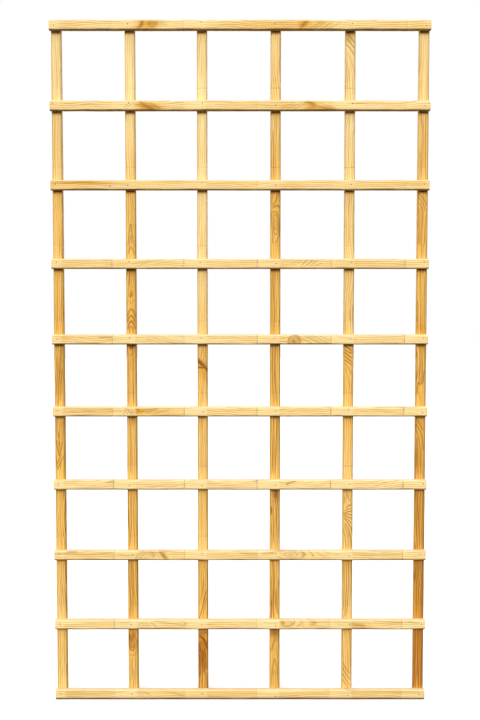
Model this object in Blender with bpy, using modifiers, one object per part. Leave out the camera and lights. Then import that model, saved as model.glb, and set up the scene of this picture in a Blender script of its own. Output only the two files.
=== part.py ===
"""A garden trellis panel: ten flat rails nailed across six uprights.

Run with: blender --background --python part.py
Units are metres, +Z is up, the rails face -Y and the uprights lie behind them.
The origin is at the bottom of the panel, in the middle of its width and depth.
"""

import math

import bmesh
import bpy
from mathutils import Matrix, Vector

# The rails, the battens that run across the front.
RAIL_LENGTH = 0.9125
RAIL_FACE = 0.0246  # height of a rail as seen from the front
RAIL_THICKNESS = 0.018
RAIL_PITCH = 0.181  # centre distance from one rail to the next, before the play below
# The panel is nailed up by eye, so each step from the top down is this much longer than the
# pitch: the upper openings are a little taller than the lower ones.
RAIL_PLAY = (0.009, 0.008, 0.008, 0.002, -0.005, -0.001, -0.006, -0.008, -0.005)

# The stiles, the uprights behind the rails.
STILE_FACE = 0.0254  # width of a stile as seen from the front
STILE_THICKNESS = 0.018
STILE_COUNT = 6
RAIL_OVERHANG = 0.001  # how far a rail runs past the outer side of the outer stiles
STILE_SETBACK = 0.001  # how far a stile stays inside the panel's top and bottom edges
# How far each stile, from the left, sits off an even spacing.
STILE_SHIFTS = (0.0005, 0.0005, -0.003, -0.0025, 0.0, 0.0005)

# Both battens are planed from one stock, with their long edges rounded over.
ARRIS = 0.004
ARRIS_SEGMENTS = 3
LAP_GAP = 0.0003  # between a rail's back and a stile's front

# The nails, one through each crossing.
NAIL_LENGTH = 0.032
NAIL_POINT = 0.004  # length of the tapered point
NAIL_HEAD_DIAMETER = 0.003
NAIL_HEAD_THICKNESS = 0.0009
NAIL_SHANK_DIAMETER = 0.002
NAIL_SUNK = 0.0003  # depth of the head's top below the face of the rail
NAIL_CLEARANCE = 0.0003  # all round a nail in its hole
NAIL_SIDES = 8
# Where each nail sits in its crossing, in tenths of the way from the middle to the place
# where its head would touch a rounded edge: one row a rail from the top, (right, up) a stile.
NAIL_PLACES = (
    ((-4, -2), (-4, 3), (-3, 9), (-4, 3), (4, 3), (3, -4)),
    ((-9, 6), (-2, 9), (2, 6), (0, 2), (6, 6), (0, -2)),
    ((-3, 3), (-8, -2), (0, 8), (0, -2), (3, 2), (2, 3)),
    ((-2, 6), (-4, 8), (-7, 6), (2, 0), (6, 6), (3, 6)),
    ((-2, 2), (-4, 5), (-4, 6), (-4, 5), (4, 2), (3, 5)),
    ((-4, 3), (2, -3), (3, 0), (0, 3), (-2, 8), (2, -3)),
    ((-4, 3), (-8, -2), (-2, -2), (2, -2), (4, 2), (8, 5)),
    ((-3, 6), (2, 2), (-2, 6), (3, 6), (4, -2), (-3, 3)),
    ((-2, 3), (-4, 0), (-4, 0), (3, -5), (7, 0), (6, 3)),
    ((-2, 2), (-4, 2), (-2, 3), (3, -6), (2, -3), (0, 2)),
)
# The stiles whose nails, away from the end rails, are modelled as one with their rails.
JOINED_NAIL_STILES = (3, 4)

CUT_PAST = 0.002  # how far a cutter runs past the face it opens
PIECES = "garden_trellis"
CUTTERS = "cutters"

RAIL_COUNT = len(RAIL_PLAY) + 1
PANEL_HEIGHT = len(RAIL_PLAY) * RAIL_PITCH + sum(RAIL_PLAY) + RAIL_FACE
PANEL_DEPTH = RAIL_THICKNESS + LAP_GAP + STILE_THICKNESS
FRONT_Y = -PANEL_DEPTH / 2
RAIL_BACK_Y = FRONT_Y + RAIL_THICKNESS
STILE_FRONT_Y = RAIL_BACK_Y + LAP_GAP
STILE_HEIGHT = PANEL_HEIGHT - 2 * STILE_SETBACK
HEAD_RADIUS = NAIL_HEAD_DIAMETER / 2
SHANK_RADIUS = NAIL_SHANK_DIAMETER / 2
POCKET_RADIUS = HEAD_RADIUS + NAIL_CLEARANCE
BORE_RADIUS = SHANK_RADIUS + NAIL_CLEARANCE
POCKET_DEPTH = NAIL_SUNK + NAIL_HEAD_THICKNESS + NAIL_CLEARANCE
HEAD_TOP_Y = FRONT_Y + NAIL_SUNK
NAIL_TIP_Y = HEAD_TOP_Y + NAIL_LENGTH


def clear_scene():
    for obj in list(bpy.data.objects):
        bpy.data.objects.remove(obj, do_unlink=True)


def new_collection(name, hidden=False):
    collection = bpy.data.collections.new(name)
    bpy.context.scene.collection.children.link(collection)
    collection.hide_render = hidden
    return collection


def new_material(name, colour, roughness, metallic=0.0):
    material = bpy.data.materials.new(name)
    material.use_nodes = True
    shader = material.node_tree.nodes["Principled BSDF"]
    shader.inputs["Base Color"].default_value = (*colour, 1.0)
    shader.inputs["Roughness"].default_value = roughness
    shader.inputs["Metallic"].default_value = metallic
    return material


def rail_heights():
    """Heights of the rails' centre lines, from the top rail down."""
    heights = [PANEL_HEIGHT - RAIL_FACE / 2]
    for play in RAIL_PLAY:
        heights.append(heights[-1] - RAIL_PITCH - play)
    return heights


def stile_places():
    """Distances of the stiles' centre lines from the middle, from left to right."""
    outermost = RAIL_LENGTH / 2 - RAIL_OVERHANG - STILE_FACE / 2
    pitch = 2 * outermost / (STILE_COUNT - 1)
    shifts = STILE_SHIFTS + (0.0,) * STILE_COUNT
    return [-outermost + i * pitch + shifts[i] for i in range(STILE_COUNT)]


def nail_place(rail, stile):
    """(x, z) of the nail where this rail crosses this stile, both counted from 0."""
    rim = ARRIS + POCKET_RADIUS
    right, up = NAIL_PLACES[rail % len(NAIL_PLACES)][stile % len(NAIL_PLACES[0])]
    x = STILES_X[stile] + right / 10 * (STILE_FACE / 2 - rim)
    z = RAILS_Z[rail] + up / 10 * (RAIL_FACE / 2 - rim)
    return x, z


def is_joined(rail, stile):
    """Whether this crossing's nail is one with its rail and not a piece of its own."""
    return stile + 1 in JOINED_NAIL_STILES and 0 < rail < RAIL_COUNT - 1


def add_object(name, mesh, collection, material=None):
    obj = bpy.data.objects.new(name, mesh)
    collection.objects.link(obj)
    if material:
        mesh.materials.append(material)
    return obj


def batten_mesh(name, size, along):
    """A planed batten: a box with the four edges that run along it rounded over."""
    shape = bmesh.new()
    bmesh.ops.create_cube(shape, size=1.0)
    bmesh.ops.scale(shape, vec=size, verts=shape.verts)
    long_edges = [
        edge
        for edge in shape.edges
        if abs((edge.verts[0].co - edge.verts[1].co).normalized()[along]) > 0.9
    ]
    bmesh.ops.bevel(
        shape,
        geom=long_edges,
        offset=ARRIS,
        offset_type="OFFSET",
        segments=ARRIS_SEGMENTS,
        profile=0.5,
        affect="EDGES",
    )
    mesh = bpy.data.meshes.new(name)
    shape.to_mesh(mesh)
    shape.free()
    mesh.shade_smooth()
    mesh.set_sharp_from_angle(angle=math.radians(40))
    return mesh


def pin_object(name, places, radius, from_y, to_y, collection):
    """Round pins along Y at the given (x, z) places, in one hidden helper for a Boolean."""
    shape = bmesh.new()
    turn = Matrix.Rotation(math.radians(90), 4, "X")
    for x, z in places:
        middle = Matrix.Translation(Vector((x, (from_y + to_y) / 2, z)))
        bmesh.ops.create_cone(
            shape,
            cap_ends=True,
            segments=NAIL_SIDES,
            radius1=radius,
            radius2=radius,
            depth=abs(to_y - from_y),
            matrix=middle @ turn,
        )
    mesh = bpy.data.meshes.new(name)
    shape.to_mesh(mesh)
    shape.free()
    obj = add_object(name, mesh, collection)
    obj.display_type = "WIRE"
    obj.hide_render = True
    return obj


def add_boolean(obj, operation, other):
    modifier = obj.modifiers.new(f"{operation.lower()} {other.name}", "BOOLEAN")
    modifier.operation = operation
    modifier.solver = "EXACT"
    modifier.object = other


def add_rail(index):
    """One rail with its nail holes: a shallow pocket for each head and a bore for each shank."""
    name = f"rail_{index + 1:02d}"
    mesh = batten_mesh(name, (RAIL_LENGTH, RAIL_THICKNESS, RAIL_FACE), along=0)
    rail = add_object(name, mesh, pieces, pine_rail)
    # The mesh keeps its place in the object's location; the cutters are built in place.
    rail.location = (0.0, (FRONT_Y + RAIL_BACK_Y) / 2, RAILS_Z[index])
    apart = [nail_place(index, s) for s in range(STILE_COUNT) if not is_joined(index, s)]
    joined = [nail_place(index, s) for s in range(STILE_COUNT) if is_joined(index, s)]
    if apart:
        before = FRONT_Y - CUT_PAST
        floor = FRONT_Y + POCKET_DEPTH
        past = RAIL_BACK_Y + CUT_PAST
        pockets = pin_object(f"{name} pockets", apart, POCKET_RADIUS, before, floor, cutters)
        bores = pin_object(f"{name} bores", apart, BORE_RADIUS, before, past, cutters)
        add_boolean(rail, "DIFFERENCE", pockets)
        add_boolean(rail, "DIFFERENCE", bores)
    if joined:
        # A joined nail shows its head in a ring-shaped pocket and is one with the wood below.
        floor = FRONT_Y + NAIL_SUNK + NAIL_HEAD_THICKNESS
        rooted = floor + NAIL_HEAD_THICKNESS
        before = FRONT_Y - CUT_PAST
        rings = pin_object(f"{name} rings", joined, POCKET_RADIUS, before, floor, cutters)
        heads = pin_object(f"{name} heads", joined, HEAD_RADIUS, HEAD_TOP_Y, rooted, cutters)
        add_boolean(rail, "DIFFERENCE", rings)
        add_boolean(rail, "UNION", heads)
    return rail


def add_stile(index):
    """One stile with a blind hole for the point of every nail that is a piece of its own."""
    name = f"stile_{index + 1}"
    mesh = batten_mesh(name, (STILE_FACE, STILE_THICKNESS, STILE_HEIGHT), along=2)
    stile = add_object(name, mesh, pieces, pine_stile)
    stile.location = (STILES_X[index], STILE_FRONT_Y + STILE_THICKNESS / 2, PANEL_HEIGHT / 2)
    apart = [nail_place(r, index) for r in range(RAIL_COUNT) if not is_joined(r, index)]
    before = STILE_FRONT_Y - CUT_PAST
    bottom = NAIL_TIP_Y + NAIL_CLEARANCE
    holes = pin_object(f"{name} holes", apart, BORE_RADIUS, before, bottom, cutters)
    add_boolean(stile, "DIFFERENCE", holes)
    return stile


def nail_profile():
    """Half the outline of a flat-headed wire nail, from the top of its head down to its point."""
    profile = bmesh.new()
    outline = (
        (0.0, 0.0),
        (HEAD_RADIUS, 0.0),
        (HEAD_RADIUS, -NAIL_HEAD_THICKNESS),
        (SHANK_RADIUS, -NAIL_HEAD_THICKNESS),
        (SHANK_RADIUS, NAIL_POINT - NAIL_LENGTH),
        (0.0, -NAIL_LENGTH),
    )
    corners = [profile.verts.new((x, 0.0, z)) for x, z in outline]
    for first, second in zip(corners, corners[1:]):
        profile.edges.new((first, second))
    mesh = bpy.data.meshes.new("nail")
    profile.to_mesh(mesh)
    profile.free()
    mesh.materials.append(steel)
    return mesh


def add_nail(rail, stile, profile):
    """One nail, driven straight back from the face of its rail."""
    nail = bpy.data.objects.new(f"nail_{rail + 1:02d}_{stile + 1}", profile)
    pieces.objects.link(nail)
    x, z = nail_place(rail, stile)
    nail.location = (x, HEAD_TOP_Y, z)
    nail.rotation_euler = (math.radians(90), 0.0, 0.0)
    turned = nail.modifiers.new("turned", "SCREW")
    turned.axis = "Z"
    turned.angle = math.tau
    turned.steps = NAIL_SIDES
    turned.render_steps = NAIL_SIDES
    turned.use_merge_vertices = True
    turned.merge_threshold = 0.00001
    turned.use_smooth_shade = True
    return nail


clear_scene()
pieces = new_collection(PIECES)
cutters = new_collection(CUTTERS, hidden=True)
pine_rail = new_material("planed pine rail", (0.92, 0.66, 0.28), 0.6)
pine_stile = new_material("planed pine stile", (0.80, 0.46, 0.14), 0.6)
steel = new_material("nail steel", (0.16, 0.13, 0.10), 0.5, metallic=0.9)

RAILS_Z = rail_heights()
STILES_X = stile_places()

for row in range(RAIL_COUNT):
    add_rail(row)
for column in range(STILE_COUNT):
    add_stile(column)

shared_profile = nail_profile()
for row in range(RAIL_COUNT):
    for column in range(STILE_COUNT):
        if not is_joined(row, column):
            add_nail(row, column, shared_profile)
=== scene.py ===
import math

import bpy
import numpy as np
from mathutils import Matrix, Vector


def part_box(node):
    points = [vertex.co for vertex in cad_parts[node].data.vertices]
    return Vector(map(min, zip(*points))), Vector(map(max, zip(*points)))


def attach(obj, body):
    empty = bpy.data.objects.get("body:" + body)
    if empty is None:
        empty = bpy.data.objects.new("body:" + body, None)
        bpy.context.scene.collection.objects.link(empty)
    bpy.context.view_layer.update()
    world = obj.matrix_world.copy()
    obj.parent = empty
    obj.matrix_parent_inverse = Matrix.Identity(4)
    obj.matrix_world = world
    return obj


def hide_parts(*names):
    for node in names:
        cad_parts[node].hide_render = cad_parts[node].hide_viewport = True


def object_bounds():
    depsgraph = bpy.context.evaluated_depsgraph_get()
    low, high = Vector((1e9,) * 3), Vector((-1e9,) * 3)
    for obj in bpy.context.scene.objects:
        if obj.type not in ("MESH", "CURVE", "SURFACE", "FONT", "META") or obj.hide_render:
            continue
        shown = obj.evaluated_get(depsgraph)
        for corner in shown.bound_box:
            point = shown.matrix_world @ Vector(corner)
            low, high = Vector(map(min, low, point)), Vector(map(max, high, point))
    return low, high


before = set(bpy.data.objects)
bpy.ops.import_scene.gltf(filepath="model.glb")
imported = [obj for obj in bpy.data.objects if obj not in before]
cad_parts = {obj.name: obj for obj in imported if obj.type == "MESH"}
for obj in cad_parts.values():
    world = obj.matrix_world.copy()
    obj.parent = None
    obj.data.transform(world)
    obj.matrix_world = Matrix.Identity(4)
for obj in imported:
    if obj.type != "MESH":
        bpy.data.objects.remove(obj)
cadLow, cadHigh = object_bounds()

mm = 0.001
railNames = sorted(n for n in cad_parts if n.startswith("rail_"))      # the top rail first
stileNames = sorted(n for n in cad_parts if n.startswith("stile_"))    # the left stile first
nailNames = sorted(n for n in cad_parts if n.startswith("nail_"))
boxes = {name: [np.array(corner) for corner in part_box(name)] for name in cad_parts}
middles = {name: (low + high) / 2 for name, (low, high) in boxes.items()}
frontY, panelTop = boxes[railNames[0]][0][1], boxes[railNames[0]][1][2]
print("frame: %d rails, %d stiles, %d nails" % (len(railNames), len(stileNames), len(nailNames)))


def addObject(name, data):
    made = bpy.data.objects.new(name, data)
    bpy.context.scene.collection.objects.link(made)
    return made


# Camera

viewpoint = {
    "focalPixels": 1075,       # focal length, in pixels of the 480 by 720 frame
    "frameHeightPixels": 720,
    "distance": 2.605,         # from the rails' faces, metres
    "aboveMiddle": 0.1756,     # camera height over the middle of the panel, metres
    "lookDown": 3.53,          # degrees
}


def makeCamera():
    data = bpy.data.cameras.new("studioCamera")
    data.sensor_width = 36    # mm, over the frame's longer side, which is its height
    data.lens = data.sensor_width * viewpoint["focalPixels"] / viewpoint["frameHeightPixels"]
    camera = addObject("studioCamera", data)
    camera.location = (0, frontY - viewpoint["distance"], panelTop / 2 + viewpoint["aboveMiddle"])
    camera.rotation_euler = (math.radians(90 - viewpoint["lookDown"]), 0, 0)
    bpy.context.scene.camera = camera


# Helpers for colours and nodes


def linear(hexColour):    # an sRGB hex value as the linear RGBA that Blender's sockets take
    channels = [int(hexColour[i:i + 2], 16) / 255 for i in (1, 3, 5)]
    return [c / 12.92 if c <= 0.04045 else ((c + 0.055) / 1.055) ** 2.4 for c in channels] + [1.0]


# One node with its settings. Its inputs come by name or in order, and each is a value, a socket to
# link, or a node, whose first output in use is then linked.
def addNode(tree, kind, inputs=(), **settings):
    node = tree.nodes.new("ShaderNode" + kind)
    for name, value in settings.items():
        setattr(node, name, value)
    for key, value in inputs.items() if isinstance(inputs, dict) else enumerate(inputs):
        if isinstance(value, bpy.types.Node):
            value = next(socket for socket in value.outputs if socket.enabled)
        if isinstance(value, bpy.types.NodeSocket):
            tree.links.new(value, node.inputs[key])
        else:
            node.inputs[key].default_value = value
    return node


def newMaterial(name):
    material = bpy.data.materials.new(name)
    material.use_nodes = True
    material.node_tree.nodes.clear()
    return material, material.node_tree


# Shares, and random curves and ripples from seeded sine waves


def asShare(value):    # held between 0 and 1
    return np.clip(value, 0, 1)


def wander(t, seed, waves=5):    # sum of sines of t, about -1 to 1; t in periods of the slowest wave
    rng = np.random.default_rng(seed)
    total = np.zeros_like(t, dtype=float)
    for k in range(1, waves + 1):
        total += np.sin(2 * np.pi * (t * k * rng.uniform(0.7, 1.3) + rng.uniform())) / k
    return total / 1.6


def uneven(play, t, seed, waves=5):    # 1 less a wandering share, of up to twice the play
    return 1 - play + play * wander(t, seed, waves)


def ripple(u, v, size, seed):    # sum of seven plane waves across (u, v) in sizes, about -1 to 1
    rng = np.random.default_rng(seed)
    u, v = u / size[0], v / size[1]
    total = np.zeros(np.broadcast(u, v).shape)
    for _ in range(7):
        turn, pitch = rng.uniform(0, np.pi), rng.uniform(0.6, 1.8)
        total += np.sin(2 * np.pi * (pitch * (u * np.cos(turn) + v * np.sin(turn)) + rng.uniform()))
    return total / math.sqrt(7) / 1.4


# Battens: the ten rails and six stiles are planed pine, each a closed numpy grid. In what follows
# s, a and d are mm along a batten, across its face, and back from the middle of its thickness.

batten = {
    "rowStep": 3.0,           # spacing of the grid's rows along a batten, mm
    "faceStep": 1.1,          # spacing of its points across the face, mm
    "backStep": 1.7,          # and round the rest of the section
    # closer rows, (reach to either side, step) in mm, round a nail, a stacking stick's line, the
    # corner under a rail, and a knot, where the reach is in radii
    "nailRows": (5.0, 0.6), "stackRows": (2.4, 0.6), "cornerRows": (4, 0.8), "knotRows": (1.7, 0.8),
    "cornerBelow": 3,         # mm from a rail down to the middle of those rows
    "steepRows": (2, 1.2),    # and past the ends of a steep grain line, or it turns into steps
    "steepLine": 90,          # a steep one is shorter than this, mm
    "endRings": (0.03, 0.2, 0.4, 0.6, 0.78, 0.9, 0.965, 0.99),    # rings of points on a sawn end
    "fullFrom": 0.35,         # mm from an end to the first row with the full section
    "evenFrom": 0.8,          # and to the first of the even and closer rows
    "arris": 4.2,             # mean radius of the rounded long edges, mm
    "arrisPlay": 0.7,         # how far the radius wanders, mm
    "arrisWave": 260,         # over what length, mm
    "faceDrop": 0.22,         # how far the planed face lies inside the nominal size, mm
    "faceWave": (90, 30),     # length and girth of its unevenness, mm
    "planerPitch": 5.5,       # the planer's waves, mm
    "planerDepth": 0.04,
    "leastDrop": 0.02,
    "sawDepth": 0.35,         # roughness of the sawn ends, mm
    "sawWave": (7, 22),       # its size across and in, mm
    "nailDent": 0.35,         # depth of the crushed wood round a nail, mm
    "nailDentReach": 2.4,     # its radius, mm
}

# How the wood's tone plays over a batten. Strengths are shares of 1, reaches and waves are in mm,
# and a slope says how soon a tone is full as the surface turns. Painted shade darkens the wood where
# shade falls: the rails' lower arrises and undersides, the stiles' front arrises and the right third
# of their faces, and the corners under the rails. Painted highlight pales the rails' upper arris.
tone = {
    "figure": (0.95, 0.76),    # how plainly the growth rings show, on the rails and on the stiles
    "figurePlay": 0.3, "figureWave": (230, 25),
    "figuredAcross": 14,       # reach of a figured patch across the face
    "mottle": 0.05, "mottleWave": (160, 16),    # uneven warmth
    "bands": 0.4,              # strength of the paler stretch that a stacking stick left
    "stackMark": 31.5,         # from a crossing to where the stretch starts, with a dark line
    "stackRise": 1.2, "stackFade": 5,    # how fast it comes there, and goes at the crossing
    "stackLine": 1.15,         # half width of the line
    "linePlay": 0.35, "lineWave": 14,    # its unevenness across the face
    # painted shade on a stile's two front arrises, and over the right third of its face, which lies in
    # shade
    "leftArrisShade": 0.3, "rightArrisShade": 0.12, "warmArrisShade": 0.6, "arrisSlope": 2.2,
    "shadyThird": 0.12, "shadyFrom": 3, "shadyRise": 4,
    "underShadeWarmth": 0.3,          # painted shade: how much browner a rail's underside and lower arris are
    "lowerShadePlay": 0.15, "lowerShadeWave": 90,    # how uneven the painted shade on its lower arris is
    "paintedHighlight": 0.55,          # painted highlight: how pale its upper arris is
    "highlightPlay": 0.2, "highlightWave": 70, "highlightSlope": 1.6,
    "cornerShadeWarmth": 0.3, "cornerReach": 9,    # painted shade: how much warmer and browner a stile is just under a rail
    "cornerShadow": 0.75, "cornerShadowReach": 3,    # and the painted shadow in the very corner between them
    "lineSpread": 1.25,        # widens the single grain lines, which the render would thin out
}


def closeRun(place, reach, step):    # rows close together round one place
    return np.arange(place - reach, place + reach, step)


def rowPlaces(length, closeRuns):    # an even run of rows, and the closer ones
    even = np.linspace(0, length, int(length / batten["rowStep"]) + 1)
    places = np.unique(np.round(np.concatenate([even] + closeRuns), 1))
    return places[(places > batten["evenFrom"]) & (places < length - batten["evenFrom"])]


def rectangle(halfFace, halfDepth):    # evenly spaced points round a rectangle's four sides
    corners = np.array([(-halfFace, -halfDepth), (halfFace, -halfDepth),
                        (halfFace, halfDepth), (-halfFace, halfDepth)])
    sides = []
    for start, end in zip(corners, np.roll(corners, -1, axis=0)):
        step = batten["faceStep"] if start[1] == end[1] == -halfDepth else batten["backStep"]
        share = np.arange(0, 1, step / np.abs(end - start).sum())[:, None]
        sides.append(start + share * (end - start))
    return np.concatenate(sides)


def bump(s, a, place, across, reachS, reachA):    # exp(-(distance in reaches) ** 2), a smooth hill
    return np.exp(-((s - place) / reachS) ** 2 - ((a - across) / reachA) ** 2)


# Grain lines: each is a run of points, rounded by cutting its corners twice, and its strength
# falls off as exp(-(distance / half width) ** 2) on both sides and weakens towards its ends.
def grainLines(s, a, lines):
    total = np.zeros(np.broadcast(s, a).shape)
    for halfWidth, strength, *points in lines:
        halfWidth = halfWidth * tone["lineSpread"]
        points = np.array(points, dtype=float)
        for _ in range(2):
            cut = [0.75 * points[:-1] + 0.25 * points[1:], 0.25 * points[:-1] + 0.75 * points[1:]]
            points = np.concatenate([points[:1], np.stack(cut, 1).reshape(-1, 2), points[-1:]])
        near = np.abs(s[:, 0] - np.mean([points[:, 0].min(), points[:, 0].max()]))
        near = np.where(near < np.ptp(points[:, 0]) / 2 + 3 * halfWidth)[0]
        x, y = s[near], a[near]
        best = np.zeros(np.broadcast(x, y).shape)
        for k, (start, end) in enumerate(zip(points[:-1], points[1:])):
            run = end - start
            along = ((x - start[0]) * run[0] + (y - start[1]) * run[1]) / max(run @ run, 1e-9)
            along = np.clip(along, 0, 1)
            away = (x - start[0] - along * run[0]) ** 2 + (y - start[1] - along * run[1]) ** 2
            fade = 1 - 0.6 * np.abs(2 * (k + along) / (len(points) - 1) - 1) ** 4
            best = np.maximum(best, fade * np.exp(-away / halfWidth ** 2))
        total[near] = np.maximum(total[near], strength * best)
    return total


rings = {
    "sway": 3.0, "swayWave": 460,    # how far the pith line wanders across the face, and its wave, mm
    "dip": 4.0, "dipWave": 560,      # and in depth
    "uneven": 0.14,                  # in ring widths
    "unevenWave": (80, 10),
    "knotWobble": 0.12,              # how far a knot's outline strays from a circle
    "knotPush": 2.2,                 # how far round it the grain is pushed aside, in radii
    # width of its dark rim, its dark core and its own rings, as (share of the radius, mm more)
    "knotWidths": ((0.06, 0.5), (0.12, 0.6), (0.2, 0.3)),
    "knotFace": 0.3,                 # how dark the wood between rim and core is
}


# Growth rings: phase = distance from a wandering pith line / ring width, so its contours are the
# lines that the face shows. A slant adds a run of rings that dive across the face. Round a knot the
# lines are pushed aside, and inside it they are circles. Only here, d is measured from the face.
def growthRings(s, a, d, look, seed):
    aside, inside = 1.0 * a + 0 * s, np.full(np.broadcast(s, a).shape, np.nan)
    knots = np.zeros(inside.shape)
    for place, across, radius, darkness in look.get("knots", ()):
        rimWidth, coreWidth, ringWidth = (k * radius + more for k, more in rings["knotWidths"])
        away = np.sqrt((s - place) ** 2 + (a - across) ** 2) + 1e-6
        turn = np.arctan2(a - across, s - place) / 6.3    # way round the knot, in turns
        away = away * (1 + rings["knotWobble"] * wander(turn, seed + 5, 3))
        push = radius * np.exp(-(away / (rings["knotPush"] * radius)) ** 2)
        aside = aside - (a - across) / (away + 0.3 * radius) * push
        rim = np.exp(-((away - radius) / rimWidth) ** 2)
        core = np.exp(-(away / coreWidth) ** 2)
        face = rings["knotFace"] * asShare((radius - away) / (0.1 * radius) + 0.5)
        knots = np.maximum(knots, darkness * np.maximum(np.maximum(rim, core), face))
        inside = np.where(away < radius, away / ringWidth, inside)
    pithA, pithD = look["pith"]
    pithA = pithA + look.get("sway", rings["sway"]) * wander(s / rings["swayWave"], seed)
    pithD = pithD + rings["dip"] * wander(s / rings["dipWave"], seed + 1)
    phase = np.sqrt((aside - pithA) ** 2 + (d + pithD) ** 2) / look["ringWidth"]
    phase = phase + rings["uneven"] * ripple(s, a, rings["unevenWave"], seed + 2)
    for place, reach, slope in look.get("slants", ()):
        phase = phase + slope * (s - place) / look["ringWidth"] * bump(s, 0, place, 0, reach, 1)
    return np.where(np.isnan(inside), phase, inside), knots


# Section point = c + (r - drop) * (q - c) / |q - c|: q lies on the rectangle of the nominal size, c
# is q clamped to that rectangle drawn in by the arris radius r, and drop is how far planing,
# rough spots and nail dents take the surface inside the nominal size. The rings on a sawn end
# shrink to a pole, so both ends are closed. (towardA, towardD) is the way the surface faces.
def battenSurface(length, halfFace, halfDepth, rows, nails, seed):
    shrink, edge = np.array(batten["endRings"]), batten["fullFrom"]
    s = np.concatenate([0 * shrink, [edge], rows, [length - edge], 0 * shrink + length])[:, None]
    scale = np.concatenate([shrink, np.ones(len(rows) + 2), shrink[::-1]])[:, None]
    sawn = (scale < 1) * 1.0
    q = rectangle(halfFace, halfDepth)
    qa, qd = q[None, :, 0], q[None, :, 1]
    radius = np.full((len(s), len(q)), batten["arris"])
    for corner, (sideA, sideD) in enumerate([(-1, -1), (1, -1), (1, 1), (-1, 1)]):
        play = batten["arrisPlay"] * wander(s / batten["arrisWave"], seed + 10 + corner)
        radius = radius + play * ((qa * sideA >= 0) & (qd * sideD >= 0))
    ca = np.clip(qa, -(halfFace - radius), halfFace - radius)
    cd = np.clip(qd, -(halfDepth - radius), halfDepth - radius)
    size = np.sqrt((qa - ca) ** 2 + (qd - cd) ** 2) + 1e-9
    towardA, towardD = (qa - ca) / size, (qd - cd) / size
    drop = batten["faceDrop"] * (0.6 + 0.4 * ripple(s, qa + 2 * qd, batten["faceWave"], seed + 20))
    drop = drop + batten["planerDepth"] * (0.5 + 0.5 * np.sin(2 * np.pi * s / batten["planerPitch"]))
    for place, offset in nails:
        dent = bump(s, qa, place, offset, batten["nailDentReach"], batten["nailDentReach"])
        drop = drop + batten["nailDent"] * dent * (towardD < -0.7)
    drop = np.maximum(drop, batten["leastDrop"])
    a = (ca + towardA * (radius - drop)) * scale
    d = (cd + towardD * (radius - drop)) * scale
    rough = np.clip(0.5 + 0.4 * ripple(a, d, batten["sawWave"], seed + 25), 0.05, 1)
    rough = batten["sawDepth"] * rough * sawn
    ends = s + rough * (s < length / 2) - rough * (s > length / 2)
    return s, a, d, ends, towardA, towardD, sawn


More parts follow.
